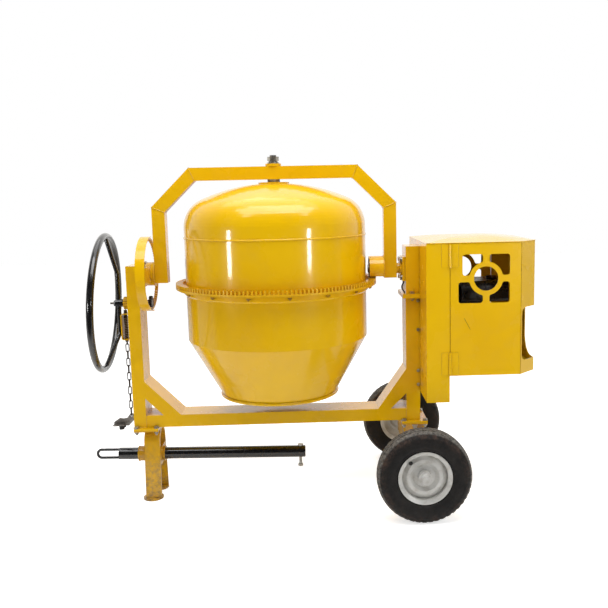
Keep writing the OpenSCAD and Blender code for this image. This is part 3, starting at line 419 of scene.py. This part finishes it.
def tube(bm, points, radius, sides=8, closed=False):
    """Tube along points. radius is a number or a function of the point's index."""
    count = len(points)
    rings = []
    up = Vector((0.31, 0.17, 0.93)).normalized()
    for i, point in enumerate(points):
        before = points[i - 1] if i or closed else point
        after = points[(i + 1) % count] if i + 1 < count or closed else point
        along = (after - before).normalized()
        side = along.cross(up).normalized()
        lift = side.cross(along)
        r = radius(i) if callable(radius) else radius
        rings.append([bm.verts.new(point + r * (math.cos(a) * side + math.sin(a) * lift))
                      for a in (2 * math.pi * k / sides for k in range(sides))])
    pairs = list(zip(rings, rings[1:])) + ([(rings[-1], rings[0])] if closed else [])
    for low, high in pairs:
        for k in range(sides):
            m = (k + 1) % sides
            bm.faces.new((low[k], low[m], high[m], high[k]))
    if not closed:
        bm.faces.new(rings[0])
        bm.faces.new(rings[-1])


def spaced(corners, step, closed=True):
    """Points every step along straight runs between corners."""
    points = []
    ends = corners[1:] + corners[:1] if closed else corners[1:]
    for a, b in zip(corners, ends):
        count = max(1, round((b - a).length / step))
        points += [a.lerp(b, k / count) for k in range(count)]
    return points if closed else points + [corners[-1]]


# ------------------------------------------------------------------ welds

# Distance between the points of a bead, and the share of its radius that follows its ripples
BEAD_STEP = 2.4 * MM
RIPPLE = 0.12
CIRCLE_POINTS = 40
# How far the bend between the yoke's bars leans from a square cut
MITRE = math.radians(22.5)


def weld(name, corners, body, radius=3.0 * MM, closed=True):
    """Rippled weld bead along a run of straight lines, painted over."""
    points = spaced(corners, BEAD_STEP, closed)
    jitter = [0.25 * radius * noise.noise(400 * p) for p in points]
    bm = bmesh.new()
    tube(bm, points, lambda i: radius * (1 - RIPPLE + RIPPLE * math.cos(i * 2.1)) + jitter[i], 8, closed)
    return piece(name, mesh_from(bm, name), WELD, body)


def circle_points(centre, axis, radius):
    """Points round a circle about the given direction."""
    turn = towards(axis)
    return [centre + turn @ Vector((radius * math.cos(a), radius * math.sin(a), 0))
            for a in (2 * math.pi * k / CIRCLE_POINTS for k in range(CIRCLE_POINTS))]


def yoke_welds():
    """Beads round the four mitred joints of the yoke."""
    low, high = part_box("yoke_top_bar")
    leg_low, leg_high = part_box("yoke_legs")
    half = middle("yoke_legs") - leg_low
    tube_w = half.y
    bend = math.tan(MITRE)
    top_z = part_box("yoke_shoulders")[1].z
    for side in (-1, 1):
        outer_top = Vector((DRUM_X + side * (high.x - low.x) / 2, 0, top_z))
        inner_top = outer_top + Vector((-side * 2 * tube_w * bend, 0, -2 * tube_w))
        outer_leg = Vector((DRUM_X + side * half.x, 0, leg_high.z))
        inner_leg = outer_leg + Vector((-side * 2 * tube_w, 0, -2 * tube_w * bend))
        for name, outer, inner in (("top", outer_top, inner_top), ("leg", outer_leg, inner_leg)):
            across = Vector((0, tube_w, 0))
            weld(f"weld_yoke_{name}_{'left' if side < 0 else 'right'}",
                 [outer - across, outer + across, inner + across, inner - across], "yoke", 2.2 * MM)


def trunnion_welds():
    """Beads round the left boss and along the top of the pinion's guard."""
    leg_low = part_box("yoke_legs")[0]
    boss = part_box("left_trunnion")
    radius = (boss[1].z - boss[0].z) / 2
    weld("weld_left_boss", circle_points(Vector((leg_low.x - 1 * MM, 0, AXIS_Z)), (1, 0, 0), radius), "yoke")
    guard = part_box("pinion_guard")
    radius = guard[1].z - AXIS_Z
    start = math.asin((guard[0].z - AXIS_Z) / radius)
    arc = [Vector((guard[1].x - 1 * MM, radius * math.cos(a), AXIS_Z + radius * math.sin(a)))
           for a in (start + (math.pi - 2 * start) * k / 40 for k in range(41))]
    weld("weld_pinion_guard", arc, "yoke", 2.6 * MM, closed=False)


def frame_welds():
    """Beads at the beam's ends, round the tow socket and under the left post."""
    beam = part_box("base_beam")
    inset = 1 * MM
    for name, x in (("left", beam[0].x + inset), ("right", beam[1].x - inset)):
        for ending, y in (("", beam[0].y), ("_rear", beam[1].y)):
            upright = [Vector((x, y, beam[0].z + 2 * inset)), Vector((x, y, beam[1].z))]
            weld(f"weld_beam_{name}{ending}", upright, "root", 2.6 * MM, closed=False)
    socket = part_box("tow_socket")
    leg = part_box("stand_leg")
    centre = middle("tow_socket")
    radius = (socket[1].y - socket[0].y) / 2
    strap = 74 * MM
    for name, x in (("outer", leg[0].x), ("inner", leg[0].x + strap)):
        ring = circle_points(Vector((x, 0, centre.z)), (1, 0, 0.02), radius)
        weld(f"weld_socket_{name}", ring, "root", 2.8 * MM)
    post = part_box("left_post")
    for name, y in (("front", -1), ("rear", 1)):
        reach = middle("base_beam").y + y * (beam[1].y - beam[0].y) / 2
        weld(f"weld_post_foot_{name}", [Vector((post[0].x + 8 * MM, reach, beam[0].z)),
                                        Vector((beam[0].x, reach, beam[0].z))], "root", 3 * MM, closed=False)


def hinge_welds():
    """Short beads that hold both leaves of every hinge to the cabinet and the door."""
    for side, sign in (("front", -1), ("rear", 1)):
        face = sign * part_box("cabinet_wall")[1].y
        low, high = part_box("door_hinges")
        tall = 102 * MM
        door_x = 2 * high.x - low.x - 12 * MM
        for level, base in (("lower", low.z + 2 * MM), ("upper", high.z - 2 * MM - tall)):
            for leaf, x, body in (("wall", low.x, "root"), ("door", door_x, f"{side}_door")):
                ends = [Vector((x, face + sign * 1.2 * MM, base + z)) for z in (1 * MM, tall - 1 * MM)]
                weld(f"weld_hinge_{side}_{level}_{leaf}", ends, body, 1.7 * MM, closed=False)


# ------------------------------------------------------------------ wheels

LUGS = 46
# Points round the tyre for each lug
LUG_POINTS = 6
TREAD_OFFSETS = (-32, -24.5, -23.5, -17.5, -16.5, -4.2, -3.2, 3.2, 4.2, 16.5, 17.5, 23.5, 24.5, 32)
SIDE_GROOVE = 20.5
GROOVE_REACH = 3.4
GROOVE_DEPTH = 6.5
CROWN_RADIUS = 208.1
CROWN_DROP = 3.6
CROWN_HALF_WIDTH = 36
# Notches of the lugs at the shoulder, and of the blocks between the grooves
SHOULDER_NOTCH = 3.2 * MM
BLOCK_NOTCH = 1.6 * MM


def tyre_profile():
    """(radius, offset) from bead to bead, with three grooves across the tread."""
    points = [(118.6, -40.5), (121, -43.2), (127, -48.8), (130.5, -50.6), (132.5, -50.2), (140, -54.2),
              (152, -56.3), (165, -55.9), (176, -53.4), (178, -53.8), (181, -52.6), (190.5, -47.6),
              (197.5, -41.5), (202, -36.5)]
    tread = []
    for offset in TREAD_OFFSETS:
        groove = min(abs(abs(offset) - SIDE_GROOVE), abs(offset)) < GROOVE_REACH
        crown = CROWN_RADIUS - CROWN_DROP * (offset / CROWN_HALF_WIDTH) ** 2
        tread.append((crown - (GROOVE_DEPTH if groove else 0), offset))
    mirror = [(r, -o) for r, o in reversed(points)]
    inner = [(118.6, 40.5), (104.2, 37.4), (104.2, -37.4), (118.6, -40.5)]
    return [(r * MM, o * MM) for r, o in points + tread + mirror + inner[1:]]


def tyres():
    """Both tyres with their tread, in place of the plain CAD ones."""
    profile = tyre_profile()
    shoulder = {i for i, (r, o) in enumerate(profile) if 0.190 < r < 0.206 and abs(o) > 0.028}
    block = {i for i, (r, o) in enumerate(profile) if r >= 0.200 and abs(o) <= 0.0165}
    steps = LUGS * LUG_POINTS

    def wobble(index, k):
        """The notches' depth at point k of the ring with that index."""
        phase = k % LUG_POINTS
        if index in shoulder:
            return -SHOULDER_NOTCH if phase in (0, 1) else 0.0
        if index in block:
            return -BLOCK_NOTCH if phase == 3 else 0.0
        return 0.0

    for side in ("front", "rear"):
        bm = bmesh.new()
        centre = middle(f"{side}_tyre")
        rings = lathe(bm, profile[:-1], steps, Matrix.Translation(centre) @ towards((0, 1, 0)), wobble)
        for k in range(steps):
            m = (k + 1) % steps
            bm.faces.new((rings[-1][k], rings[-1][m], rings[0][m], rings[0][k]))
        name = f"{side}_tyre_tread"
        obj = piece(name, mesh_from(bm, name), TYRE, f"{side}_wheel")
        mark_sharp(obj, 38)
        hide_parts(f"{side}_tyre")


def mark_sharp(obj, degrees):
    """Smooth shading that breaks at edges sharper than the given angle."""
    bm = bmesh.new()
    bm.from_mesh(obj.data)
    for edge in bm.edges:
        edge.smooth = len(edge.link_faces) == 2 and edge.calc_face_angle(0) < math.radians(degrees)
    bm.to_mesh(obj.data)
    bm.free()


def hexagon_head(bm, place, width, height, washer):
    """Bolt head with a chamfered top, along local Z, on a washer of that radius."""
    base = 1.4 * MM
    rings = lathe(bm, [(washer * 0.4, 0), (washer, 0), (washer, base), (washer * 0.4, base)], 24, place)
    bm.faces.new(rings[0])
    bm.faces.new(rings[-1])
    corner = width / math.sqrt(3)
    head = [(corner, base), (corner, base + 0.85 * height), (corner * 0.86, base + height)]
    rings = lathe(bm, head, 6, place)
    bm.faces.new(rings[0])
    bm.faces.new(rings[-1])


def hub_details():
    """Dust cap and valve stem of both wheels."""
    for side, out in (("front", -1), ("rear", 1)):
        face = middle(f"{side}_tyre")
        turn = towards((0, out, 0))
        bm = bmesh.new()
        cap = [(0.4, 59.9), (9, 59.7), (13.4, 58.6), (15.8, 55.4), (16.6, 50), (17.6, 49.6), (17.8, 47),
               (16.9, 46.6)]
        rings = lathe(bm, [(r * MM, z * MM) for r, z in cap], 36, Matrix.Translation(face) @ turn)
        bm.faces.new(rings[0])
        piece(f"{side}_dust_cap", mesh_from(bm, f"{side}_dust_cap"), ZINC, f"{side}_wheel")
        bm = bmesh.new()
        root = face + Vector((-60 * MM, out * 20 * MM, 62 * MM))
        lean = towards((-0.25, out, 0.26))
        stem = [(8.8, 0), (8.4, 7), (5.2, 12), (4.4, 24), (5.2, 24.4), (5.2, 33), (4.2, 35), (0.6, 35.4)]
        rings = lathe(bm, [(r * MM, z * MM) for r, z in stem], 16, Matrix.Translation(root) @ lean)
        bm.faces.new(rings[0])
        bm.faces.new(rings[-1])
        piece(f"{side}_valve_stem", mesh_from(bm, f"{side}_valve_stem"), RUBBER, f"{side}_wheel")


# ------------------------------------------------------------------ cabinet

def domed_roof():
    """Cabinet lid pressed into a shallow crown, with a short turned-down edge."""
    low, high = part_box("cabinet_roof")
    cut = (high.x - low.x) * 0.163
    outline = [(low.x, low.y), (high.x - cut, low.y), (high.x, low.y + cut), (high.x, high.y - cut),
               (high.x - cut, high.y), (low.x, high.y)]
    edge = spaced([Vector((x, y, 0)) for x, y in outline], 16 * MM)
    centre = Vector(((low.x + high.x) / 2, 0, 0))
    crown = 19 * MM
    bm = bmesh.new()
    rings = []
    for t in (1.0, 0.985, 0.93, 0.86, 0.76, 0.64, 0.5, 0.36, 0.22, 0.1):
        rise = high.z + crown * (1 - t ** 2.4) ** 1.25
        rings.append([bm.verts.new(centre.lerp(p, t) + Vector((0, 0, rise))) for p in edge])
    foot = Vector((0, 0, low.z + 0.2 * MM))
    skirt = [bm.verts.new(p + foot) for p in edge]
    inner = [bm.verts.new((p + foot).lerp(centre + foot, 0.02)) for p in edge]
    rings = [inner, skirt] + rings
    count = len(edge)
    for a, b in zip(rings, rings[1:]):
        for k in range(count):
            m = (k + 1) % count
            bm.faces.new((a[k], a[m], b[m], b[k]))
    bm.faces.new(rings[-1])
    bm.faces.new(rings[0])
    roof = piece("cabinet_lid", mesh_from(bm, "cabinet_lid"), YELLOW, "root")
    mark_sharp(roof, 35)
    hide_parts("cabinet_roof")


def lock_coil():
    """The plunger's spring, shown by a copy of the CAD spring's mesh in place of the CAD node."""
    obj = bpy.data.objects.new("lock_coil", NODES["lock_spring"].data.copy())
    bpy.context.scene.collection.objects.link(obj)
    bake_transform(obj)
    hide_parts("lock_spring")


def post_bolts():
    """Bolts that hold the cabinet's inner wall to the right post."""
    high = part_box("right_post")[1]
    face_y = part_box("base_beam")[0].y
    bm = bmesh.new()
    for z in (0.523, 0.591, 0.788, 0.927):
        for side in (-1, 1):
            place = Matrix.Translation((high.x - 40 * MM, side * abs(face_y), z)) @ towards((0, side, 0))
            hexagon_head(bm, place, 11 * MM, 5.5 * MM, 8 * MM)
    piece("cabinet_bolts", mesh_from(bm, "cabinet_bolts"), ZINC, "root", smooth=False)


# ------------------------------------------------------------------ studio

# Name, place from the drum's axis on the floor, height of its target, size, watts, whether panels mirror it
LIGHTS = [
    ("key", (0.1, -1.3, 4.1), 1.2, (4.2, 1.9), 100, True),
    ("overhead", (0.1, 0.1, 4.6), 0.9, (5.0, 3.0), 60, True),
    ("left_fill", (-2.6, -2.0, 2.6), 1.0, (1.4, 1.4), 7, False),
    ("right_fill", (2.8, -2.6, 2.4), 1.0, (1.4, 1.4), 12, False),
    ("left_strip", (-2.364, -1.847, 1.02), 1.1, (0.26, 0.38), 9, True),
    ("right_strip", (1.97, -2.26, 1.08), 1.1, (0.24, 0.42), 9, True),
]
# Lens in millimetres, shift of the frame, and the view's turn, tilt and roll in degrees
LENS = 45.2
SHIFT = (-0.0541, -0.0058)
VIEW_ANGLES = (1.69, -7.82, -1.21)
# From the drum's axis on the floor
VIEWPOINT = (0.1766, -3.613, 1.4236)


def area_light(name, place, target, size, power):
    """Rectangular light of that width, height and power in watts, turned towards target."""
    data = bpy.data.lights.new(name, "AREA")
    data.shape = "RECTANGLE"
    data.size, data.size_y = size
    data.energy = power
    obj = bpy.data.objects.new(name, data)
    obj.location = place
    obj.rotation_euler = (Vector(target) - Vector(place)).to_track_quat("-Z", "Y").to_euler()
    bpy.context.scene.collection.objects.link(obj)
    return obj


def studio():
    """Soft lights over and beside the machine, two strips that its drum mirrors, and a pale room."""
    for name, (x, y, z), aim, size, power, mirrored in LIGHTS:
        light = area_light(name, (DRUM_X + x, y, z), (DRUM_X, 0, aim), size, power)
        light.visible_glossy = mirrored
    world = bpy.data.worlds.new("studio")
    bpy.context.scene.world = world
    world.use_nodes = True
    tree = world.node_tree
    tree.nodes.clear()
    output = tree.nodes.new("ShaderNodeOutputWorld")
    room = tree.nodes.new("ShaderNodeBackground")
    room.inputs[0].default_value = (1, 0.985, 0.96, 1)
    seen = tree.nodes.new("ShaderNodeBackground")
    seen.inputs[0].default_value = (1, 1, 1, 1)
    seen.inputs[1].default_value = 1.0
    mix = tree.nodes.new("ShaderNodeMixShader")
    ray = tree.nodes.new("ShaderNodeLightPath")
    place = tree.nodes.new("ShaderNodeTexCoord")
    split = tree.nodes.new("ShaderNodeSeparateXYZ")
    tree.links.new(place.outputs["Generated"], split.inputs[0])
    # The half of the room in front of the machine is dark, and the backdrop behind it is bright
    depth = tree.nodes.new("ShaderNodeMapRange")
    for index, value in enumerate((-0.25, 0.65, 0.05, 1.0), 1):
        depth.inputs[index].default_value = value
    tree.links.new(split.outputs[1], depth.inputs[0])
    tree.links.new(depth.outputs[0], room.inputs[1])
    tree.links.new(ray.outputs["Is Camera Ray"], mix.inputs[0])
    tree.links.new(room.outputs[0], mix.inputs[1])
    tree.links.new(seen.outputs[0], mix.inputs[2])
    tree.links.new(mix.outputs[0], output.inputs[0])


def floor():
    """Plain white floor."""
    bm = bmesh.new()
    bmesh.ops.create_grid(bm, x_segments=1, y_segments=1, size=14)
    mesh = mesh_from(bm, "floor")
    look = Look("floor_white")
    ray = look.tree.nodes.new("ShaderNodeLightPath")
    white = look.blend(look.noise(3, 3), (0.93, 0.93, 0.925), (0.95, 0.95, 0.945))
    # The room in front of the machine is unlit, so panels that mirror the far floor stay saturated
    far = look.ramp(look.part("Object", 1), -0.75, -1.25)
    unlit = look.math("MULTIPLY", far, ray.outputs["Is Glossy Ray"])
    look.put("Base Color", look.blend(unlit, white, (0.03, 0.03, 0.03)))
    look.put("Roughness", look.ramp(look.noise(6, 3), 0.3, 0.7, 0.75, 0.9))
    look.shader.inputs["Emission Color"].default_value = (1, 1, 1, 1)
    look.put("Emission Strength", look.ramp(ray.outputs["Is Camera Ray"], 0, 1, 0, 0.62))
    mesh.materials.append(look.material)
    obj = bpy.data.objects.new("floor", mesh)
    bpy.context.scene.collection.objects.link(obj)


def camera():
    """Camera at the photograph's viewpoint: level with the top of the cabinet, a little to the right."""
    data = bpy.data.cameras.new("camera")
    data.sensor_width = 36
    data.lens = LENS
    data.shift_x, data.shift_y = SHIFT
    yaw, pitch, roll = (math.radians(a) for a in VIEW_ANGLES)
    forward = Vector((math.sin(yaw) * math.cos(pitch), math.cos(yaw) * math.cos(pitch), math.sin(pitch)))
    level = Vector((math.cos(yaw), -math.sin(yaw), 0))
    upright = level.cross(forward)
    right = math.cos(roll) * level + math.sin(roll) * upright
    up = math.cos(roll) * upright - math.sin(roll) * level
    turn = Matrix((right, up, -forward)).transposed().to_4x4()
    obj = bpy.data.objects.new("camera", data)
    obj.matrix_world = Matrix.Translation(Vector((DRUM_X, 0, 0)) + Vector(VIEWPOINT)) @ turn
    bpy.context.scene.collection.objects.link(obj)
    bpy.context.scene.camera = obj


bpy.context.scene.view_settings.view_transform = "Standard"
camera()
dress_cad()
yoke_welds()
trunnion_welds()
frame_welds()
hinge_welds()
tyres()
hub_details()
domed_roof()
lock_coil()
post_bolts()
studio()
floor()

bpy.context.view_layer.update()
